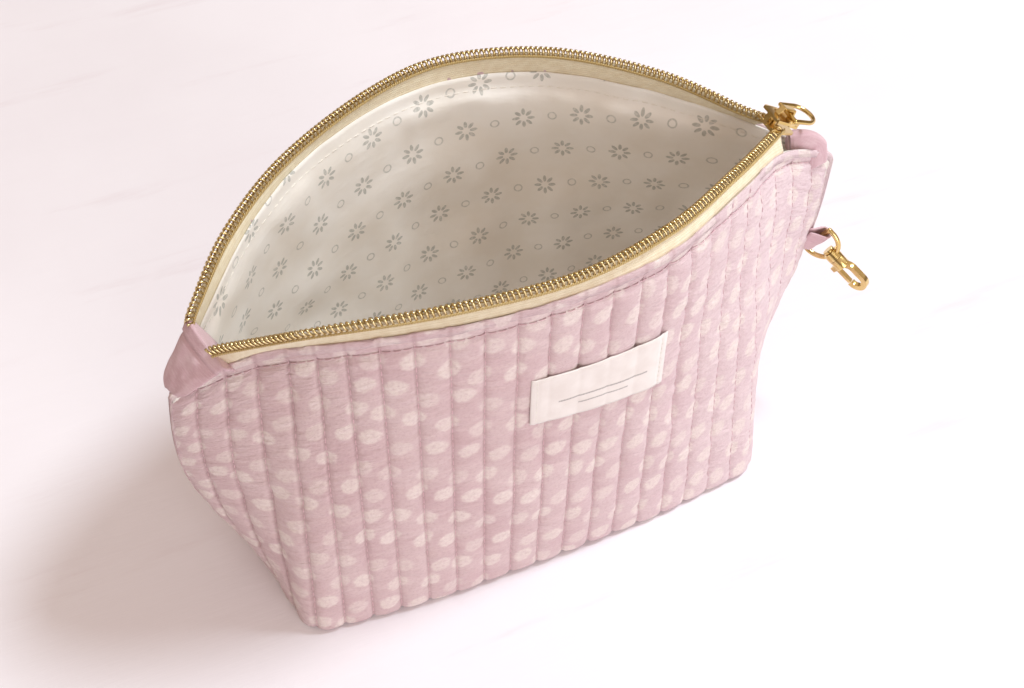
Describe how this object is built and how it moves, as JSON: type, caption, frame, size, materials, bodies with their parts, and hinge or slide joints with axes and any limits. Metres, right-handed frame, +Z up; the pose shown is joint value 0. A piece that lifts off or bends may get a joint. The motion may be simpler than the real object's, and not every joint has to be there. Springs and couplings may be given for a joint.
{
  "type": "zip pouch",
  "caption": "Quilted fabric pouch with a boxed flat base, a curved zipped mouth held open, a blank label and a swivel clasp on a side loop.",
  "frame": {"origin": "centre of the boxed base's underside, on the surface that the pouch stands on", "axes": "+Z up, +X along the zip towards the slider when open, front with the label towards -Y"},
  "size_m": [0.2325, 0.1012, 0.1375],
  "materials": {
    "outer_fabric": "quilted cotton-linen with a soft blotched print",
    "plain_fabric": "plain woven linen",
    "lining_fabric": "smooth cotton with a small flower print",
    "wadding": "soft felted wadding",
    "zip_tape": "woven tape",
    "zip_coil": "metallised coil",
    "label_ribbon": "satin ribbon",
    "gold_metal": "polished plating",
    "clasp_metal": "satin plating",
    "spring_steel": "drawn wire"
  },
  "bodies": {
    "root": {"front_panel": "outer_fabric", "back_panel": "outer_fabric", "wadding_front": "wadding", "wadding_back": "wadding", "lining_front": "lining_fabric", "lining_back": "lining_fabric", "zip_tab_left": "plain_fabric", "zip_tab_right": "plain_fabric", "label": "label_ribbon", "strap_loop": "plain_fabric"},
    "front_zip": {"zip_tape_front": "zip_tape", "zip_coil_front": "zip_coil"},
    "back_zip": {"zip_tape_back": "zip_tape", "zip_coil_back": "zip_coil"},
    "slider": {"slider_body": "gold_metal", "slider_crown": "gold_metal"},
    "puller": {"puller": "gold_metal"},
    "clasp_ring": {"clasp_ring": "clasp_metal"},
    "hook": {"swivel_post": "clasp_metal", "hook_body": "clasp_metal", "trigger_pin": "clasp_metal", "trigger_spring": "spring_steel"},
    "trigger": {"trigger": "clasp_metal"}
  },
  "joints": [
    {"name": "zip_close", "type": "slide", "parent": "root", "child": "slider", "axis": [-0.999, 0, -0.045], "range_m": [0, 0.175]},
    {"name": "front_edge_close", "type": "slide", "parent": "root", "child": "front_zip", "axis": [0, 0.9777, -0.2099], "range_m": [0, 0.0385], "deforming": ["zip_tape_front", "zip_coil_front"]},
    {"name": "back_edge_close", "type": "slide", "parent": "root", "child": "back_zip", "axis": [0, -0.9887, -0.15], "range_m": [0, 0.057], "deforming": ["zip_tape_back", "zip_coil_back"]},
    {"name": "puller_swing", "type": "hinge", "parent": "slider", "child": "puller", "pos_m": [0.09443, -0.005, 0.12987], "axis": [0, -1, 0], "range_deg": [-5, 160]},
    {"name": "ring_swing", "type": "hinge", "parent": "root", "child": "clasp_ring", "pos_m": [0.1162, -0.006, 0.069], "axis": [0.3046, -0.4515, 0.8387], "range_deg": [-8, 110]},
    {"name": "hook_swivel", "type": "hinge", "parent": "clasp_ring", "child": "hook", "pos_m": [0.12002, -0.01167, 0.06456], "axis": [0.469, -0.6953, -0.5446], "continuous": true},
    {"name": "trigger_open", "type": "hinge", "parent": "hook", "child": "trigger", "pos_m": [0.1219, -0.01416, 0.06064], "axis": [-0.8563, -0.5089, -0.0877], "range_deg": [0, 25], "stiffness_Nm_per_rad": 0.0005, "springref_deg": -17.19}
  ],
  "couplings": [
    {"joint": "front_edge_close", "follows": "zip_close", "ratio": 0.22},
    {"joint": "back_edge_close", "follows": "zip_close", "ratio": 0.3257}
  ]
}
